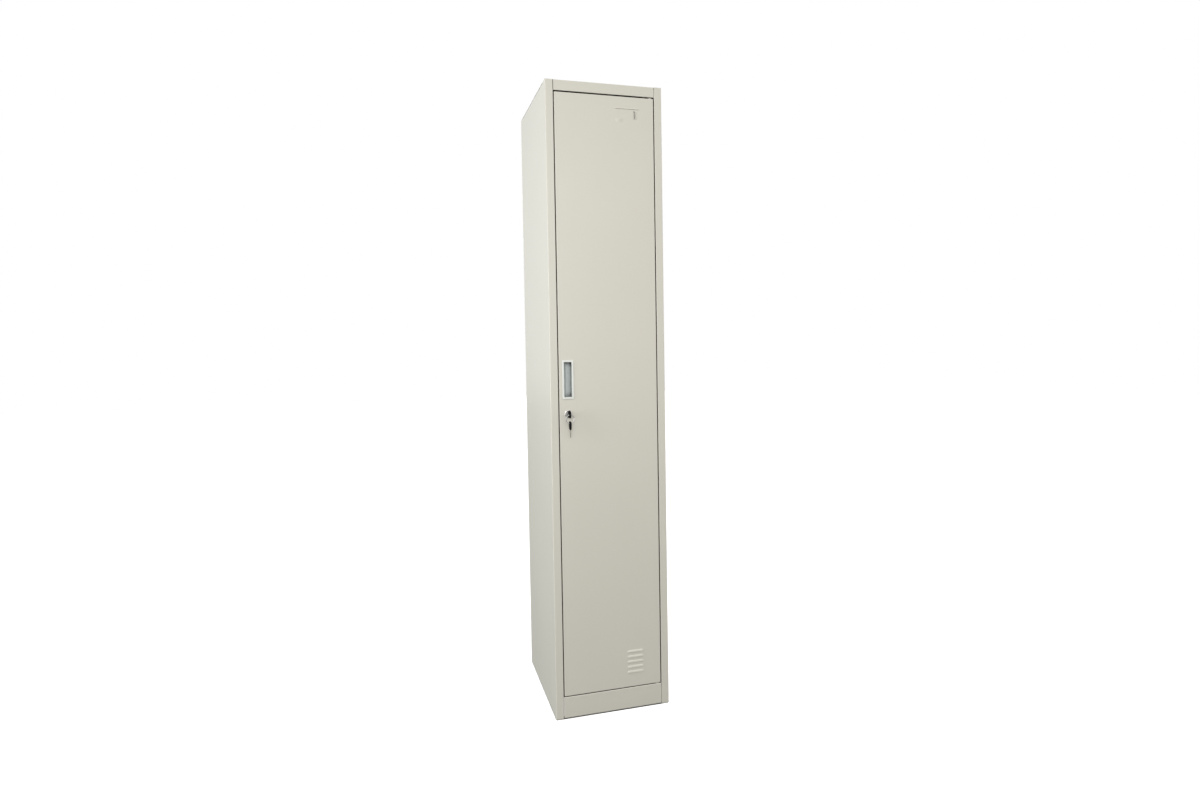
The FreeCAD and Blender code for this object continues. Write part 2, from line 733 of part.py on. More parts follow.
def door_pivot_plates():
    """Plates welded inside the door's end flanges, around the bushes."""
    def plate(low_z):
        low = (PIVOT_X - PLATE_INWARD - 2, FRONT + 2.2, low_z)
        high = (PIVOT_X + PLATE_OUTWARD, FRONT + 15.0, low_z + PLATE)
        sleeve_room = rod(BUSH_R + CLOSE_FIT, (PIVOT_X, PIVOT_Y, low_z - 1), UPWARD, PLATE + 2)
        return block(low, high).cut(sleeve_room)

    return Part.makeCompound([plate(DOOR_TOP - SHEET - PLATE), plate(DOOR_BOTTOM + SHEET)])


# ---- Door skin with its pressed features ----

def bulge(length, reach, proud, shrink):
    """Front part of a lying capsule that meets the face y = 0 in an outline length by 2 x reach.

    shrink takes the sheet's thickness off all round.
    """
    radius = (reach * reach / proud + proud) / 2
    centre_y = radius - proud
    straight = length - 2 * reach
    ends = [Part.makeSphere(radius - shrink, FreeCAD.Vector(hand * straight / 2, centre_y, 0))
            for hand in (-1, 1)]
    if straight < 0.01:
        return ends[0]
    bar = rod(radius - shrink, (-straight / 2, centre_y, 0), RIGHTWARD, straight)
    return bar.multiFuse(ends)


def press_hood(skin, x, z, opening_turn, length, reach, proud, slit):
    """Press a half-capsule hood out of the skin, open along one straight edge.

    At opening_turn 0 it opens downward; the turn is about the line pointing forward. The sheet is
    cut away for the slit's width beyond the open edge.
    """
    wide = length / 2 + 1
    outer = bulge(length, reach, proud, 0.0)
    outer = outer.common(block((-wide, -proud - 1, 0), (wide, SHEET / 2, reach + 1)))
    inner = bulge(length, reach, proud, SHEET)
    inner = inner.common(block((-wide, -proud - 1, -slit), (wide, SHEET + 0.5, reach + 1)))
    turn = FreeCAD.Rotation(FreeCAD.Vector(*FORWARD), opening_turn)
    place = FreeCAD.Placement(FreeCAD.Vector(x, FRONT, z), turn)
    for shape in (outer, inner):
        shape.Placement = place
    return skin.fuse(outer).cut(inner)


def louvre_heights():
    return [LOUVRE_LOWEST + i * LOUVRE_PITCH for i in range(LOUVRE_COUNT)]


def door_pan():
    """Front sheet with rounded flanges all round and a welded lip at the rear."""
    outside = block((DOOR_LEFT, FRONT, DOOR_BOTTOM), (DOOR_RIGHT, DOOR_BACK, DOOR_TOP))
    outside = outside.makeFillet(BEND + SHEET, outside.Edges)
    low = (DOOR_LEFT + SHEET, FRONT + SHEET, DOOR_BOTTOM + SHEET)
    high = (DOOR_RIGHT - SHEET, DOOR_BACK - SHEET, DOOR_TOP - SHEET)
    inside = block(low, high)
    inside = inside.makeFillet(BEND, inside.Edges)
    low = (DOOR_LEFT + DOOR_LIP, DOOR_BACK - 3, DOOR_BOTTOM + DOOR_LIP)
    high = (DOOR_RIGHT - DOOR_LIP, DOOR_BACK + 1, DOOR_TOP - DOOR_LIP)
    return outside.cut(inside).cut(block(low, high))


def lock_body(extra):
    """The lock's round body with two flats; extra widens it into the hole that it sits in."""
    body = rod(HOUSING_R + extra, (LOCK_X, FRONT, LOCK_HEIGHT), REARWARD, HOUSING_DEPTH)
    half = HOUSING_FLATS / 2 + extra
    low = (LOCK_X - 20, FRONT, LOCK_HEIGHT - half)
    high = (LOCK_X + 20, FRONT + HOUSING_DEPTH, LOCK_HEIGHT + half)
    return body.common(block(low, high))


def press_groove(skin, x, middle_z):
    """Press the upright round-ended groove beside the card's right-hand lip into the skin."""
    def lobe(radius, front, back):
        straight = (CARD_GROOVE_LENGTH - CARD_GROOVE_WIDTH) / 2
        low = (x - radius, front, middle_z - straight)
        high = (x + radius, back, middle_z + straight)
        ends = [rod(radius, (x, front, middle_z + hand * straight), REARWARD, back - front)
                for hand in (-1, 1)]
        return block(low, high).multiFuse(ends)

    half = CARD_GROOVE_WIDTH / 2
    floor_y = FRONT + CARD_GROOVE_DEPTH
    outer = lobe(half + SHEET, FRONT + SHEET / 2, floor_y + SHEET)
    inner = lobe(half, FRONT - 1.0, floor_y)
    return skin.fuse(outer).cut(inner)


def with_card_holder(skin):
    """A top lip, a right-hand lip with a groove beside it and a dished stop below."""
    width = CARD_RIGHT - CARD_LEFT
    lip_x = CARD_RIGHT - CARD_LIP_INSET
    dish_x = CARD_LEFT + CARD_DISH_LENGTH / 2
    hoods = (
        (CARD_LEFT + width / 2, CARD_TOP, 0, width, CARD_TOP_REACH, CARD_TOP_PROUD),
        (lip_x, CARD_LIP_MIDDLE, -90, CARD_LIP_LENGTH, CARD_LIP_REACH, CARD_LIP_PROUD),
        (dish_x, CARD_BOTTOM, 180, CARD_DISH_LENGTH, CARD_DISH_REACH, CARD_DISH_PROUD),
    )
    for hood in hoods:
        skin = press_hood(skin, *hood, CARD_SLIT)
    groove_x = lip_x - CARD_GROOVE_WIDTH / 2 - SHEET
    return press_groove(skin, groove_x, CARD_LIP_MIDDLE)


def door_skin():
    skin = door_pan()
    for z in louvre_heights():
        skin = press_hood(skin, LOUVRE_X, z, 0, LOUVRE_LENGTH, LOUVRE_REACH, LOUVRE_PROUD, LOUVRE_SLIT)
    skin = with_card_holder(skin)
    skin = skin.cut(handle_cutout())
    lock_hole = lock_body(HOLE_SLIP)
    skin = skin.cut(lock_hole)
    for face in (DOOR_TOP - 2, DOOR_BOTTOM - 2):
        skin = skin.cut(rod(BUSH_R + CLOSE_FIT, (PIVOT_X, PIVOT_Y, face), UPWARD, 4))
    return skin


def door_stiffener():
    """Hat channel spot-welded down the inside of the door skin."""
    left = STIFFENER_LEFT
    crown = STIFFENER_CROWN
    brim = STIFFENER_BRIM
    near = FRONT + SHEET
    far = DOOR_BACK - 3.0
    path = [
        (left, near),
        (left + brim, near),
        (left + brim, far),
        (left + brim + crown, far),
        (left + brim + crown, near),
        (left + 2 * brim + crown, near),
    ]
    return folded_sheet(path, "xy", DOOR_BOTTOM + STIFFENER_END, DOOR_TOP - STIFFENER_END)


# ---- Handle pull ----

def handle_body_box():
    """Outline, behind the skin, of the moulding that holds the finger pocket."""
    left = HANDLE_LEFT + POCKET_INSET - HANDLE_WALL
    right = HANDLE_LEFT + POCKET_INSET + POCKET_WIDTH + GRIP_UNDERCUT + HANDLE_WALL
    low = HANDLE_BOTTOM + POCKET_END - HANDLE_WALL
    high = HANDLE_BOTTOM + HANDLE_HEIGHT - POCKET_END + HANDLE_WALL
    return left, right, low, high


def handle_cutout():
    left, right, low, high = handle_body_box()
    return block((left - FIT, FRONT - 1, low - FIT), (right + FIT, FRONT + 2, high + FIT))


def finger_pocket():
    """Scoop that falls away from the left edge and undercuts the grip at the right."""
    left = HANDLE_LEFT + POCKET_INSET
    mouth_right = left + POCKET_WIDTH
    far_right = mouth_right + GRIP_UNDERCUT
    face = FRONT - HANDLE_PROUD
    deep = FRONT + POCKET_DEPTH
    under_grip = FRONT - HANDLE_PROUD + GRIP_THICKNESS
    corners = [
        (left, face - 1),
        (mouth_right, face - 1),
        (mouth_right, under_grip),
        (far_right, under_grip + 2),
        (far_right, deep),
        (left + 8.0, deep),
        (left, FRONT + 3.0),
        (left, face - 1),
    ]
    low = HANDLE_BOTTOM + POCKET_END
    outline = Part.makePolygon([FreeCAD.Vector(x, y, low) for x, y in corners])
    high = HANDLE_BOTTOM + HANDLE_HEIGHT - POCKET_END
    pocket = Part.Face(outline).extrude(FreeCAD.Vector(0, 0, high - low))
    return rounded(pocket, 1.5, lambda edge: edge.CenterOfMass.y > FRONT + 2.0)


def handle_pull():
    """Moulded recessed pull: a rounded bezel over the skin and a pocket behind it."""
    bezel = block(
        (HANDLE_LEFT, FRONT - HANDLE_PROUD, HANDLE_BOTTOM),
        (HANDLE_LEFT + HANDLE_WIDTH, FRONT, HANDLE_BOTTOM + HANDLE_HEIGHT),
    )
    bezel = rounded(bezel, 3.0, lambda edge: abs(edge.tangentAt(0).y) > 0.9)
    bezel = rounded(bezel, 1.2, lambda edge: edge.CenterOfMass.y < FRONT - HANDLE_PROUD + 0.01)
    left, right, low, high = handle_body_box()
    cup = block((left, FRONT - 0.5, low), (right, FRONT + POCKET_DEPTH + HANDLE_WALL, high))
    cup = rounded(cup, 1.5, lambda edge: edge.CenterOfMass.y > FRONT + 5.0)
    barbs = []
    for z, height in ((high, 1.2), (low, -1.2)):
        middle = (left + right) / 2
        start = FRONT + SHEET + 0.1
        corners = [(start, z), (start, z + height), (start + 4.0, z), (start, z)]
        outline = Part.makePolygon([FreeCAD.Vector(middle - 6.0, y, level) for y, level in corners])
        barbs.append(Part.Face(outline).extrude(FreeCAD.Vector(12.0, 0, 0)))
    pull = joined([bezel, cup] + barbs).cut(finger_pocket())
    mouth_left = HANDLE_LEFT + POCKET_INSET
    mouth_right = mouth_left + POCKET_WIDTH

    def on_mouth(edge):
        box = edge.BoundBox
        at_face = abs(box.YMin - box.YMax) < 0.01 and abs(box.YMin - FRONT + HANDLE_PROUD) < 0.01
        return at_face and box.XMin > mouth_left - 0.01 and box.XMax < mouth_right + 0.01

    return rounded(pull, 0.8, on_mouth)


# ---- Lock ----

def lock_housing():
    """Cam-lock body with the round face ring that stands on the door."""
    face = rod(LOCK_RING_R, (LOCK_X, FRONT, LOCK_HEIGHT), FORWARD, LOCK_FACE)
    face = rounded(face, 1.2, lambda edge: edge.CenterOfMass.y < FRONT - LOCK_FACE + 0.01)
    body = joined([face, lock_body(0.0)])
    front_face = (LOCK_X, FRONT - LOCK_FACE, LOCK_HEIGHT)
    bore = rod(PLUG_R + RUNNING_FIT, front_face, REARWARD, 40)
    counterbore = rod(PLUG_HEAD_R + RUNNING_FIT, front_face, REARWARD, PLUG_HEAD_DEPTH + 0.1)
    return body.cut(bore).cut(counterbore)


def lock_nut():
    nut = hexagon(LOCK_NUT_FLATS, (LOCK_X, FRONT + SHEET, LOCK_HEIGHT), REARWARD, LOCK_NUT_HEIGHT)
    return nut.cut(rod(HOUSING_R + CLOSE_FIT, (LOCK_X, FRONT, LOCK_HEIGHT), REARWARD, 10))


def lock_plug():
    """Turning cylinder: a shouldered head, the keyway and a square tail for the cam."""
    front_face = FRONT - LOCK_FACE
    head = rod(PLUG_HEAD_R, (LOCK_X, front_face, LOCK_HEIGHT), REARWARD, PLUG_HEAD_DEPTH)
    barrel_end = CAM_Y - 0.2
    barrel = rod(PLUG_R, (LOCK_X, front_face, LOCK_HEIGHT), REARWARD, barrel_end - front_face)
    half = CAM_SQUARE / 2
    tail = block(
        (LOCK_X - half, barrel_end - 1, LOCK_HEIGHT - half),
        (LOCK_X + half, CAM_Y + CAM_THICKNESS - 0.1, LOCK_HEIGHT + half),
    )
    plug = joined([head, barrel, tail])
    keyway = block(
        (LOCK_X - BLADE_THICKNESS / 2 - KEYWAY_SLACK, front_face - 1, LOCK_HEIGHT - BLADE_WIDTH / 2 - 0.3),
        (LOCK_X + BLADE_THICKNESS / 2 + KEYWAY_SLACK, KEYWAY_END, LOCK_HEIGHT + BLADE_WIDTH / 2 + 0.3),
    )
    screw_hole = rod(SCREW_HOLE_R, (LOCK_X, KEYWAY_END + 0.8, LOCK_HEIGHT), REARWARD, 20)
    return plug.cut(keyway).cut(screw_hole)


def lock_cam():
    """Flat cam on the plug's square tail; it hangs down when the door is unlocked."""
    half = CAM_WIDTH / 2
    arm = block(
        (LOCK_X - half, CAM_Y, LOCK_HEIGHT - CAM_LENGTH),
        (LOCK_X + half, CAM_Y + CAM_THICKNESS, LOCK_HEIGHT),
    )
    boss = rod(half, (LOCK_X, CAM_Y, LOCK_HEIGHT), REARWARD, CAM_THICKNESS)
    arm = rounded(arm, 3.0, lambda edge: abs(edge.tangentAt(0).y) > 0.9 and
                  edge.CenterOfMass.z < LOCK_HEIGHT - CAM_LENGTH + 1)
    half_hole = CAM_SQUARE / 2 + CLOSE_FIT
    hole = block(
        (LOCK_X - half_hole, CAM_Y - 1, LOCK_HEIGHT - half_hole),
        (LOCK_X + half_hole, CAM_Y + CAM_THICKNESS + 1, LOCK_HEIGHT + half_hole),
    )
    return joined([arm, boss]).cut(hole)


def lock_screw():
    """Screw with a broad head that holds the cam on the plug."""
    seat = CAM_Y + CAM_THICKNESS
    head = rod(CAM_SQUARE / 2 + 2.2, (LOCK_X, seat, LOCK_HEIGHT), REARWARD, 2.4)
    head = rounded(head, 0.8, lambda edge: edge.CenterOfMass.y > seat + 2.3)
    shank = rod(SCREW_R, (LOCK_X, seat, LOCK_HEIGHT), FORWARD, 6.0)
    return joined([head, shank])


# ---- Keys: built lying along -Y in their own frame, head outward, then placed ----

def key_blade():
    """Blade from the origin's face: 0 is where the head begins, +Y is the blade's way in."""
    half = BLADE_THICKNESS / 2
    blade = block((-half, -BLADE_IN_HEAD, -BLADE_WIDTH / 2), (half, BLADE_LENGTH - 2.0, BLADE_WIDTH / 2))
    tip = block((-half, 0.0, -BLADE_WIDTH / 2), (half, BLADE_LENGTH, BLADE_WIDTH / 2 - 2.0))
    blade = joined([blade, tip])
    for index, depth in enumerate(NOTCH_DEPTHS):
        middle = NOTCH_FIRST + index * NOTCH_PITCH
        top = BLADE_WIDTH / 2
        corners = [
            FreeCAD.Vector(-half - 1, middle - NOTCH_WIDE, top + 0.1),
            FreeCAD.Vector(-half - 1, middle - NOTCH_NARROW, top - depth),
            FreeCAD.Vector(-half - 1, middle + NOTCH_NARROW, top - depth),
            FreeCAD.Vector(-half - 1, middle + NOTCH_WIDE, top + 0.1),
        ]
        notch = Part.Face(Part.makePolygon(corners + corners[:1]))
        blade = blade.cut(notch.extrude(FreeCAD.Vector(BLADE_THICKNESS + 2, 0, 0)))
    return blade


def key_grip():
    """Moulded head over the blade's end, with a hole for the ring."""
    half = HEAD_THICKNESS / 2
    head = block((-half, -HEAD_LENGTH, -HEAD_WIDTH / 2), (half, 0.0, HEAD_WIDTH / 2))
    head = rounded(head, HEAD_CORNER, lambda edge: abs(edge.tangentAt(0).x) > 0.9)
    head = rounded(head, HEAD_EDGE, lambda edge: abs(abs(edge.CenterOfMass.x) - half) < 0.01)
    hole_y = -HEAD_LENGTH + KEY_HOLE_INSET
    head = head.cut(rod(KEY_HOLE_R, (-half - 1, hole_y, 0), RIGHTWARD, HEAD_THICKNESS + 2))
    return head.cut(key_blade())


def in_lock(shape):
    shape.Placement = FreeCAD.Placement(KEY_BASE, FreeCAD.Rotation())
    return shape


def on_ring(shape):
    """Hang a key from the ring's lowest point, blade down."""
    turn = FreeCAD.Rotation(FreeCAD.Vector(*RIGHTWARD), -90)
    base = FreeCAD.Vector(LOCK_X, HOLE_Y, SPARE_HOLE - HEAD_LENGTH + KEY_HOLE_INSET)
    shape.Placement = FreeCAD.Placement(base, turn)
    return shape


def key_ring():
    centre = FreeCAD.Vector(LOCK_X, HOLE_Y, RING_TOP - RING_R)
    return Part.makeTorus(RING_R, RING_WIRE_R, centre, FreeCAD.Vector(*REARWARD))


def main():
    os.makedirs("parts", exist_ok=True)
    shapes = {
        "left_side_panel": left_side_panel(),
        "right_side_panel": right_side_panel(),
        "top_panel": top_panel(),
        "bottom_panel": bottom_panel(),
        "back_panel": back_panel(),
        "hat_shelf": hat_shelf(),
        "shelf_angles": support_angles(SHELF_TOP - SHEET),
        "shelf_screws": deck_screws(SHELF_TOP),
        "floor_angles": support_angles(PLINTH - SHEET),
        "floor_screws": deck_screws(PLINTH),
        "coat_rail": coat_rail(),
        "rail_brackets": rail_brackets(),
        "rail_end_caps": rail_end_caps(),
        "rail_screws": rail_screws(),
        "rear_screws": rear_screws(),
        "lid_studs": lid_studs(),
        "lid_nuts": lid_nuts(),
        "door_buffers": door_buffers(),
        "top_hinge_plate": top_hinge_plate(),
        "bottom_hinge_plate": bottom_hinge_plate(),
        "hinge_rivets": hinge_rivets(),
        "top_hinge_pin": top_hinge_pin(),
        "bottom_hinge_pin": bottom_hinge_pin(),
        "hinge_washer": hinge_washer(),
        "door_skin": door_skin(),
        "door_stiffener": door_stiffener(),
        "door_pivot_plates": door_pivot_plates(),
        "top_pivot_bush": top_pivot_bush(),
        "bottom_pivot_bush": bottom_pivot_bush(),
        "handle_pull": handle_pull(),
        "lock_housing": lock_housing(),
        "lock_nut": lock_nut(),
        "lock_plug": lock_plug(),
        "lock_cam": lock_cam(),
        "lock_screw": lock_screw(),
        "key_blade": in_lock(key_blade()),
        "key_head": in_lock(key_grip()),
        "key_ring": key_ring(),
        "spare_key_blade": on_ring(key_blade()),
        "spare_key_head": on_ring(key_grip()),
    }
    for name, shape in shapes.items():
        print(name, "valid" if shape.isValid() else "NOT VALID", len(shape.Solids), round(shape.Volume))
        save(name, shape)


main()
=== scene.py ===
import json
import math

import bpy
from mathutils import Matrix, Vector


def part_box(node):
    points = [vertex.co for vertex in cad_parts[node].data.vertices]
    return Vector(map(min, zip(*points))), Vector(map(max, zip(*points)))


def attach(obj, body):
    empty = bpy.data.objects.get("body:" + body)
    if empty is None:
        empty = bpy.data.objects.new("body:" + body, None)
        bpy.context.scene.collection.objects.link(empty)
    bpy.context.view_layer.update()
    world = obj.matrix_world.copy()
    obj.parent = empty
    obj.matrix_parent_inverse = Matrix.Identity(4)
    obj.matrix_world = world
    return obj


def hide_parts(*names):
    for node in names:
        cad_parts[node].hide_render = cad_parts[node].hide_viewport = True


# A single-door sheet-steel locker cabinet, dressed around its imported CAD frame.
# Metres; +X is to the right seen from the front, +Y to the rear and +Z up.

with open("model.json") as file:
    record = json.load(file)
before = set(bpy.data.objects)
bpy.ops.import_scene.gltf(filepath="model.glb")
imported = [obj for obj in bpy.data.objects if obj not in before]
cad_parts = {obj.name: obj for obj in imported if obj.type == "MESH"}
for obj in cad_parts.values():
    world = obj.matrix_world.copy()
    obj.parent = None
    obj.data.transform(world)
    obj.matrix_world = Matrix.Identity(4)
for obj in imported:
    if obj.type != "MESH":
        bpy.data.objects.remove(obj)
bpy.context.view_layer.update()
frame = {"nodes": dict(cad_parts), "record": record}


# ---- Places taken from the frame ----

def corners(node):
    """Lowest and highest corner of a CAD node, as vectors."""
    low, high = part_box(node)
    return Vector(low), Vector(high)


SIDE_LOW = corners("left_side_panel")[0]
RING_LOW, RING_HIGH = corners("key_ring")
CARCASS_CORNER = Vector((SIDE_LOW.x, SIDE_LOW.y, 0.0))
HEIGHT = corners("top_panel")[1].z
DOOR_FACE_Y = corners("door_skin")[0].y


# ---- Painted shade in narrow gaps: how far a surface looks for neighbours, and its darkest share deep inside ----

# Share of open surroundings below which a gap gets its darkest painted shade, and above which a surface
# gets none
PAINTED_SHADE_CLOSED = 0.38
PAINTED_SHADE_OPEN = 0.62
PAINTED_SHADE_SAMPLES = 8

PAINT_SHADE_REACH = 0.012
PAINT_SHADE_DARKEST = 0.03
PULL_SHADE_REACH = 0.018
PULL_SHADE_DARKEST = 0.20
FLOOR_SHADOW_REACH = 0.014
FLOOR_SHADOW_DARKEST = 0.10


# ---- Node helpers ----

def new_material(name):
    material = bpy.data.materials.new(name)
    material.use_nodes = True
    return material, material.node_tree, material.node_tree.nodes["Principled BSDF"]


def link(tree, source, target):
    tree.links.new(source, target)


def object_place(tree):
    """The point's own place in metres: every piece sits at the origin, so it stays with the piece."""
    return tree.nodes.new("ShaderNodeTexCoord").outputs["Object"]


def stretched(tree, vector, scale):
    mapping = tree.nodes.new("ShaderNodeMapping")
    mapping.inputs["Scale"].default_value = scale
    link(tree, vector, mapping.inputs["Vector"])
    return mapping.outputs["Vector"]


def noise(tree, vector, scale, detail=2.0, roughness=0.5):
    node = tree.nodes.new("ShaderNodeTexNoise")
    node.inputs["Scale"].default_value = scale
    node.inputs["Detail"].default_value = detail
    node.inputs["Roughness"].default_value = roughness
    link(tree, vector, node.inputs["Vector"])
    return node.outputs["Fac"]


def ranged(tree, value, low, high, from_low=0.0, from_high=1.0):
    node = tree.nodes.new("ShaderNodeMapRange")
    node.inputs["From Min"].default_value = from_low
    node.inputs["From Max"].default_value = from_high
    node.inputs["To Min"].default_value = low
    node.inputs["To Max"].default_value = high
    link(tree, value, node.inputs["Value"])
    return node.outputs["Result"]


def spread(tree, value, from_low=0.3, from_high=0.7):
    """Stretch the middle of a noise over the whole of 0 to 1."""
    return ranged(tree, value, 0.0, 1.0, from_low, from_high)


def blended(tree, factor, first, second):
    """Mix two colours by a factor; each is a colour tuple or a socket."""
    node = tree.nodes.new("ShaderNodeMix")
    node.data_type = "RGBA"
    link(tree, factor, node.inputs["Factor"])
    for socket, colour in ((node.inputs[6], first), (node.inputs[7], second)):
        if isinstance(colour, tuple):
            socket.default_value = (*colour, 1.0)
        else:
            link(tree, colour, socket)
    return node.outputs[2]


def summed(tree, first, second):
    node = tree.nodes.new("ShaderNodeMath")
    node.operation = "ADD"
    link(tree, first, node.inputs[0])
    link(tree, second, node.inputs[1])
    return node.outputs["Value"]


def bumped(tree, shader, height, distance, strength=1.0):
    bump = tree.nodes.new("ShaderNodeBump")
    bump.inputs["Distance"].default_value = distance
    bump.inputs["Strength"].default_value = strength
    link(tree, height, bump.inputs["Height"])
    link(tree, bump.outputs["Normal"], shader.inputs["Normal"])
    return bump


def painted_gap_shade(tree, reach, lowest):
    """1 where the surface lies open within its reach, falling to the lowest value deep in a gap: a mask
    for painted shade.
    """
    closeness = tree.nodes.new("ShaderNodeAmbientOcclusion")
    closeness.samples = PAINTED_SHADE_SAMPLES
    closeness.inputs["Distance"].default_value = reach
    return ranged(tree, closeness.outputs["AO"], lowest, 1.0, PAINTED_SHADE_CLOSED, PAINTED_SHADE_OPEN)


def multiplied(tree, colour, shade_share):
    """The colour darkened by a grey painted-shade factor between 0 and 1."""
    node = tree.nodes.new("ShaderNodeMix")
    node.data_type = "RGBA"
    node.blend_type = "MULTIPLY"
    node.inputs["Factor"].default_value = 1.0
    link(tree, colour, node.inputs[6])
    link(tree, shade_share, node.inputs[7])
    return node.outputs[2]


def shade(colour, factor):
    return tuple(part * factor for part in colour)


# ---- Materials ----

PAINT_SHEEN = 0.45
PAINT_COAT = 0.08


def powder_coat(name, colour):
    """Semi-gloss powder coat with orange peel, slow waves in the sheet, faint mottling, and painted
    shade that darkens it and dulls its reflection in narrow gaps.
    """
    material, tree, shader = new_material(name)
    place = object_place(tree)
    cloud = noise(tree, place, 2.2, 3.0)
    speckle = noise(tree, place, 900.0, 1.0)
    tone = blended(tree, spread(tree, cloud), shade(colour, 0.985), shade(colour, 1.015))
    fleck = ranged(tree, speckle, 0.0, 0.35, 0.66, 0.80)
    flecked = blended(tree, fleck, tone, shade(colour, 0.90))
    # Painted shade: in narrow gaps the colour darkens and the specular and coat fade.
    shade_share = painted_gap_shade(tree, PAINT_SHADE_REACH, PAINT_SHADE_DARKEST)
    link(tree, multiplied(tree, flecked, shade_share), shader.inputs["Base Color"])
    link(tree, ranged(tree, shade_share, 0.0, PAINT_SHEEN), shader.inputs["Specular IOR Level"])
    link(tree, ranged(tree, shade_share, 0.0, PAINT_COAT), shader.inputs["Coat Weight"])
    peel = noise(tree, place, 520.0, 2.0, 0.55)
    link(tree, ranged(tree, peel, 0.36, 0.48), shader.inputs["Roughness"])
    waves = noise(tree, stretched(tree, place, (1.0, 1.0, 0.35)), 7.0, 1.0)
    fine = bumped(tree, shader, peel, 0.00006, 0.5)
    broad = tree.nodes.new("ShaderNodeBump")
    broad.inputs["Distance"].default_value = 0.0016
    broad.inputs["Strength"].default_value = 0.35
    link(tree, waves, broad.inputs["Height"])
    link(tree, broad.outputs["Normal"], fine.inputs["Normal"])
    shader.inputs["Coat Roughness"].default_value = 0.25
    return material


def moulded_plastic(name, colour, grain, roughness, specular=0.5):
    """Fine-textured moulding with slightly uneven gloss."""
    material, tree, shader = new_material(name)
    place = object_place(tree)
    texture = noise(tree, place, 1400.0, 2.0, 0.6)
    cloud = noise(tree, place, 60.0, 2.0)
    tone = blended(tree, spread(tree, cloud), shade(colour, 0.96), shade(colour, 1.04))
    link(tree, tone, shader.inputs["Base Color"])
    link(tree, ranged(tree, cloud, roughness - 0.05, roughness + 0.07), shader.inputs["Roughness"])
    shader.inputs["Specular IOR Level"].default_value = specular
    bumped(tree, shader, texture, grain, 0.6)
    return material


PULL_RIM_DEPTH = 0.004


def recessed_pull(name, rim_colour, pocket_shade_colour):
    """Satin moulding whose pocket, behind the face of the door, gets a darker grey than its rim as
    painted shade, and more painted shade in narrow gaps.
    """
    material, tree, shader = new_material(name)
    place = object_place(tree)
    parted = tree.nodes.new("ShaderNodeSeparateXYZ")
    link(tree, place, parted.inputs["Vector"])
    # Painted shade: past the rim's depth the pocket takes a darker colour that stands in for the shade
    # inside the recess.
    depth = spread(tree, parted.outputs["Y"], DOOR_FACE_Y, DOOR_FACE_Y + PULL_RIM_DEPTH)
    cloud = noise(tree, place, 60.0, 2.0)
    mottled = spread(tree, cloud)
    rim = blended(tree, mottled, shade(rim_colour, 0.97), shade(rim_colour, 1.03))
    pocket = blended(tree, mottled, shade(pocket_shade_colour, 0.95), shade(pocket_shade_colour, 1.05))
    tone = blended(tree, depth, rim, pocket)
    # Painted shade in narrow gaps, deepest under the top of the pocket.
    shade_share = painted_gap_shade(tree, PULL_SHADE_REACH, PULL_SHADE_DARKEST)
    link(tree, multiplied(tree, tone, shade_share), shader.inputs["Base Color"])
    link(tree, ranged(tree, cloud, 0.28, 0.40), shader.inputs["Roughness"])
    bumped(tree, shader, noise(tree, place, 1400.0, 2.0, 0.6), 0.00004, 0.6)
    return material


def plated_metal(name, colour, roughness, brush_scale):
    """Plated metal with fine brushing or casting texture and a few duller patches."""
    material, tree, shader = new_material(name)
    place = object_place(tree)
    brushing = noise(tree, stretched(tree, place, brush_scale), 400.0, 3.0, 0.6)
    patches = noise(tree, place, 130.0, 3.0)
    tone = blended(tree, spread(tree, patches, 0.35), shade(colour, 0.88), colour)
    link(tree, tone, shader.inputs["Base Color"])
    shader.inputs["Metallic"].default_value = 1.0
    fine = ranged(tree, brushing, -0.05, 0.05)
    broad = ranged(tree, patches, roughness, roughness + 0.08)
    link(tree, summed(tree, fine, broad), shader.inputs["Roughness"])
    bumped(tree, shader, brushing, 0.00003, 0.35)
    return material


def zinc_plate(name):
    """Bright zinc with the faint crystalline mottling of passivated parts."""
    material, tree, shader = new_material(name)
    place = object_place(tree)
    cells = tree.nodes.new("ShaderNodeTexVoronoi")
    cells.inputs["Scale"].default_value = 420.0
    link(tree, place, cells.inputs["Vector"])
    mottled = spread(tree, cells.outputs["Distance"], 0.1, 0.6)
    tone = blended(tree, mottled, (0.50, 0.51, 0.52), (0.66, 0.66, 0.64))
    link(tree, tone, shader.inputs["Base Color"])
    shader.inputs["Metallic"].default_value = 1.0
    link(tree, ranged(tree, cells.outputs["Distance"], 0.28, 0.42), shader.inputs["Roughness"])
    bumped(tree, shader, noise(tree, place, 700.0, 2.0), 0.00004, 0.4)
    return material


def soft_rubber(name):
    material, tree, shader = new_material(name)
    place = object_place(tree)
    grain = noise(tree, place, 1600.0, 3.0)
    tone = blended(tree, grain, (0.018, 0.018, 0.018), (0.034, 0.033, 0.032))
    link(tree, tone, shader.inputs["Base Color"])
    link(tree, ranged(tree, grain, 0.62, 0.8), shader.inputs["Roughness"])
    bumped(tree, shader, grain, 0.00008, 0.6)
    return material


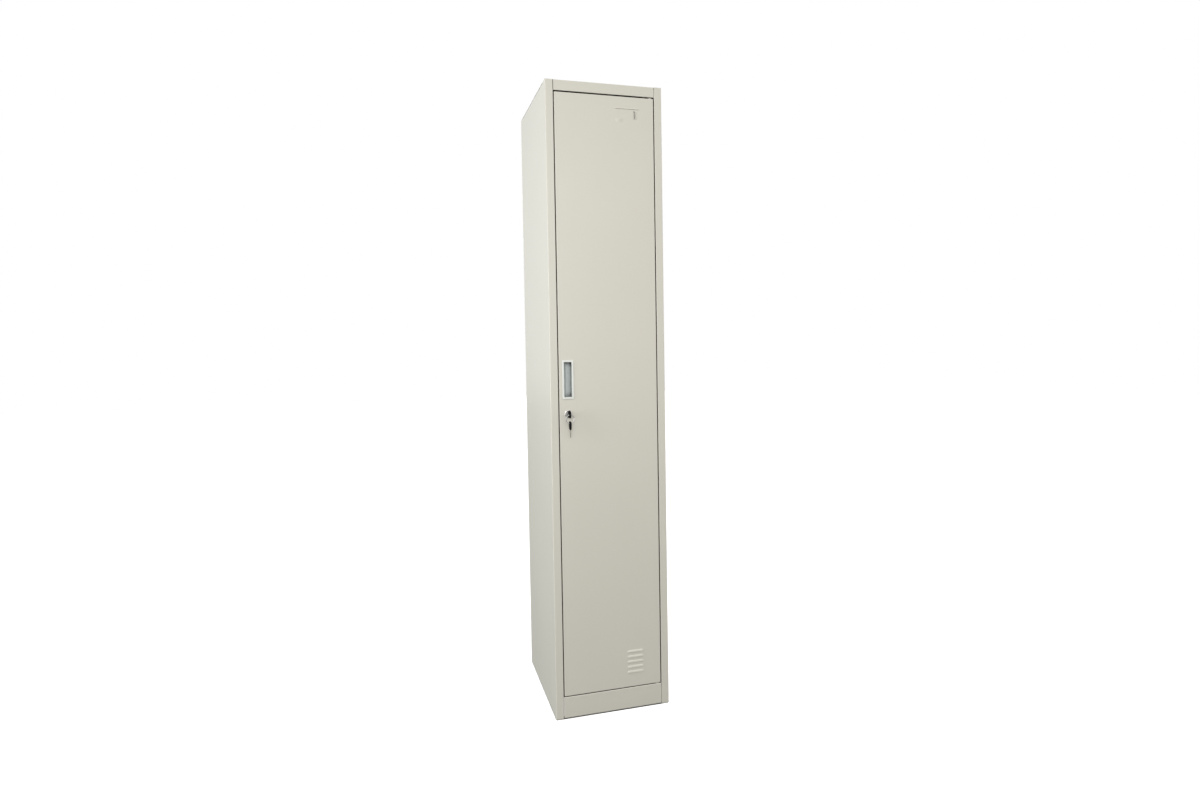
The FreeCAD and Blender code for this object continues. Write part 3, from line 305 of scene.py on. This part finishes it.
PAINT_COLOUR = (0.640, 0.620, 0.545)
MATERIALS = {
    "cabinet_paint": powder_coat("cabinet_paint", PAINT_COLOUR),
    "door_paint": powder_coat("door_paint", PAINT_COLOUR),
    # The pull's second colour is painted shade for its pocket.
    "handle_plastic": recessed_pull("handle_plastic", (0.75, 0.77, 0.72), (0.48, 0.525, 0.515)),
    "lock_chrome": plated_metal("lock_chrome", (0.86, 0.855, 0.82), 0.26, (1.0, 0.1, 1.0)),
    "chrome": plated_metal("rail_chrome", (0.78, 0.78, 0.78), 0.10, (0.05, 1.0, 1.0)),
    "zinc_steel": zinc_plate("zinc_steel"),
    "key_steel": plated_metal("key_steel", (0.62, 0.59, 0.50), 0.24, (1.0, 1.0, 0.1)),
    "ring_steel": plated_metal("ring_steel", (0.56, 0.56, 0.55), 0.26, (1.0, 0.2, 1.0)),
    "key_black": moulded_plastic("key_black", (0.004, 0.004, 0.004), 0.00005, 0.62, 0.04),
    "black_plastic": moulded_plastic("black_plastic", (0.020, 0.020, 0.021), 0.00005, 0.46),
    "nylon": moulded_plastic("nylon", (0.72, 0.71, 0.65), 0.00003, 0.36),
    "rubber": soft_rubber("rubber"),
}


def dress_frame():
    """Give every CAD node the procedural material of its slot in the record."""
    for part in frame["record"]["subparts"]:
        piece = frame["nodes"][part["node"]]
        material = MATERIALS[part["material_slot"]]
        piece.data.materials.clear()
        piece.data.materials.append(material)


# ---- Split ring: two flat turns of spring wire that cross over on one side ----

RING_STEPS = 192
RING_SECTION_STEPS = 12
RING_SQUARENESS = 0.6

# Radians: the gap left at each free end, and half the arc in which one turn crosses to the other
RING_SIDE_GAP = 0.30
RING_CROSSING = 0.24

# The wire's half width over a quarter of the ring's thickness, and the share of that quarter it fills
RING_WIRE_RATIO = 1.9
RING_LAYER_FILL = 0.96


def ring_section(half_radial, half_thick):
    """Rounded-rectangle outline of the flat wire, as pairs of radial and sideways offsets."""
    outline = []
    for step in range(RING_SECTION_STEPS):
        angle = 2.0 * math.pi * step / RING_SECTION_STEPS
        wide, thick = math.cos(angle), math.sin(angle)
        outline.append((
            half_radial * math.copysign(abs(wide) ** RING_SQUARENESS, wide),
            half_thick * math.copysign(abs(thick) ** RING_SQUARENESS, thick),
        ))
    return outline


def ring_points():
    """Rings of outline points along the two turns, which fill the round outline of the CAD ring."""
    centre = (RING_LOW + RING_HIGH) / 2.0
    outer = (RING_HIGH.x - RING_LOW.x) / 2.0
    layer = (RING_HIGH.y - RING_LOW.y) / 4.0
    half_radial = layer * RING_WIRE_RATIO
    middle_r = outer - half_radial
    outline = ring_section(half_radial, layer * RING_LAYER_FILL)
    first = RING_SIDE_GAP
    last = 4.0 * math.pi - RING_SIDE_GAP
    points = []
    for step in range(RING_STEPS + 1):
        turn = first + (last - first) * step / RING_STEPS
        across = (turn - 2.0 * math.pi) / RING_CROSSING
        across = max(-1.0, min(1.0, across))
        shift = layer * (1.5 * across - 0.5 * across ** 3)
        for radial, sideways in outline:
            reach = middle_r + radial
            points.append(centre + Vector((
                reach * math.cos(turn), shift + sideways, reach * math.sin(turn))))
    return points


def ring_faces():
    """Four-sided faces between neighbouring outlines, and one flat cap on each free end."""
    size = RING_SECTION_STEPS
    faces = []
    for step in range(RING_STEPS):
        for corner in range(size):
            beside = (corner + 1) % size
            base = step * size
            faces.append((base + corner, base + beside, base + size + beside, base + size + corner))
    faces.append(tuple(range(size)))
    faces.append(tuple(reversed(range(RING_STEPS * size, (RING_STEPS + 1) * size))))
    return faces


def split_ring():
    """Replaces the closed ring of the frame."""
    mesh = bpy.data.meshes.new("split_ring")
    mesh.from_pydata([tuple(point) for point in ring_points()], [], ring_faces())
    mesh.polygons.foreach_set("use_smooth", [len(face.vertices) == 4 for face in mesh.polygons])
    mesh.update()
    mesh.materials.append(MATERIALS["ring_steel"])
    ring = bpy.data.objects.new("split_ring", mesh)
    bpy.context.collection.objects.link(ring)
    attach(ring, "key_ring")
    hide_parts("key_ring")


# ---- Stage, light and camera ----

FLOOR_REACH = 12.0
FLOOR_GLOW = 0.55


def floor_material():
    """White floor that glows a little for the camera, with a painted contact shadow beside the cabinet,
    and throws only a dim light on the cabinet.
    """
    material, tree, shader = new_material("floor_white")
    grain = noise(tree, object_place(tree), 3.0, 2.0)
    tone = blended(tree, grain, (0.92, 0.92, 0.91), (0.96, 0.96, 0.95))
    # Painted contact shadow: the floor's colour darkens next to the cabinet.
    shade_share = painted_gap_shade(tree, FLOOR_SHADOW_REACH, FLOOR_SHADOW_DARKEST)
    link(tree, multiplied(tree, tone, shade_share), shader.inputs["Base Color"])
    shader.inputs["Roughness"].default_value = 0.8
    shader.inputs["Emission Color"].default_value = (1.0, 1.0, 1.0, 1.0)
    # The glow fades to nothing in the same painted contact shadow.
    glow = ranged(tree, painted_gap_shade(tree, FLOOR_SHADOW_REACH, 0.0), 0.0, FLOOR_GLOW)
    link(tree, glow, shader.inputs["Emission Strength"])
    dim = tree.nodes.new("ShaderNodeBsdfDiffuse")
    dim.inputs["Color"].default_value = (0.12, 0.12, 0.117, 1.0)
    path = tree.nodes.new("ShaderNodeLightPath")
    mix = tree.nodes.new("ShaderNodeMixShader")
    link(tree, path.outputs["Is Camera Ray"], mix.inputs["Fac"])
    link(tree, dim.outputs["BSDF"], mix.inputs[1])
    link(tree, shader.outputs["BSDF"], mix.inputs[2])
    link(tree, mix.outputs["Shader"], tree.nodes["Material Output"].inputs["Surface"])
    return material


def floor():
    reach = FLOOR_REACH
    outline = [(-reach, -reach, 0.0), (reach, -reach, 0.0), (reach, reach, 0.0), (-reach, reach, 0.0)]
    mesh = bpy.data.meshes.new("floor")
    mesh.from_pydata(outline, [], [(0, 1, 2, 3)])
    obj = bpy.data.objects.new("floor", mesh)
    bpy.context.collection.objects.link(obj)
    mesh.materials.append(floor_material())


def world_light(strength):
    """Even studio light of this strength behind a backdrop that the camera sees as plain white."""
    world = bpy.data.worlds.new("studio")
    bpy.context.scene.world = world
    world.use_nodes = True
    tree = world.node_tree
    lit = tree.nodes["Background"]
    lit.inputs["Color"].default_value = (1.0, 0.995, 0.985, 1.0)
    lit.inputs["Strength"].default_value = strength
    seen = tree.nodes.new("ShaderNodeBackground")
    seen.inputs["Color"].default_value = (1.0, 1.0, 1.0, 1.0)
    seen.inputs["Strength"].default_value = 1.0
    path = tree.nodes.new("ShaderNodeLightPath")
    mix = tree.nodes.new("ShaderNodeMixShader")
    link(tree, path.outputs["Is Camera Ray"], mix.inputs["Fac"])
    link(tree, lit.outputs["Background"], mix.inputs[1])
    link(tree, seen.outputs["Background"], mix.inputs[2])
    link(tree, mix.outputs["Shader"], tree.nodes["World Output"].inputs["Surface"])


def softbox(name, place, target, width, height, power, colour):
    lamp = bpy.data.lights.new(name, "AREA")
    lamp.shape = "RECTANGLE"
    lamp.size = width
    lamp.size_y = height
    lamp.energy = power
    lamp.color = colour
    obj = bpy.data.objects.new(name, lamp)
    obj.location = place
    obj.rotation_euler = (Vector(target) - Vector(place)).to_track_quat("-Z", "Y").to_euler()
    bpy.context.collection.objects.link(obj)


def lights():
    middle = Vector((0.0, 0.0, HEIGHT * 0.50))
    softbox("front_softbox", (-0.5, -2.5, 1.55), middle, 1.6, 1.2, 28.0, (1.0, 0.99, 0.97))
    softbox("left_softbox", (-2.5, -0.3, 1.4), middle, 1.8, 1.6, 48.0, (0.91, 0.955, 1.0))
    softbox("right_softbox", (2.8, -1.2, 2.4), middle, 1.4, 1.4, 8.0, (1.0, 0.98, 0.95))


# The camera stands off the carcass's front left foot and looks a little right and down.
CAMERA_OFFSET = Vector((-0.41375, -2.01639, 1.11043))
CAMERA_TURN = math.radians(15.59)
CAMERA_TILT = math.radians(-2.107)
CAMERA_ROLL = math.radians(-0.9175)
CAMERA_LENS = 21.50
CAMERA_SHIFT_Y = -0.02852
SENSOR_WIDTH = 36.0
NEAR_CLIP = 0.02


def camera():
    data = bpy.data.cameras.new("camera")
    data.lens = CAMERA_LENS
    data.sensor_width = SENSOR_WIDTH
    data.shift_y = CAMERA_SHIFT_Y
    data.clip_start = NEAR_CLIP
    obj = bpy.data.objects.new("camera", data)
    bpy.context.collection.objects.link(obj)
    level = math.cos(CAMERA_TILT)
    ahead = Vector((math.sin(CAMERA_TURN) * level, math.cos(CAMERA_TURN) * level, math.sin(CAMERA_TILT)))
    level_right = Vector((math.cos(CAMERA_TURN), -math.sin(CAMERA_TURN), 0.0))
    level_up = level_right.cross(ahead)
    right = level_right * math.cos(CAMERA_ROLL) + level_up * math.sin(CAMERA_ROLL)
    up = right.cross(ahead)
    turn = Matrix((right, up, -ahead)).transposed().to_4x4()
    obj.matrix_world = Matrix.Translation(CARCASS_CORNER + CAMERA_OFFSET) @ turn
    bpy.context.scene.camera = obj


def view_settings():
    settings = bpy.context.scene.view_settings
    settings.view_transform = "Standard"
    settings.look = "None"
    settings.exposure = 0.0


WORLD_STRENGTH = 0.75

camera()
dress_frame()
split_ring()
floor()
world_light(WORLD_STRENGTH)
lights()
view_settings()
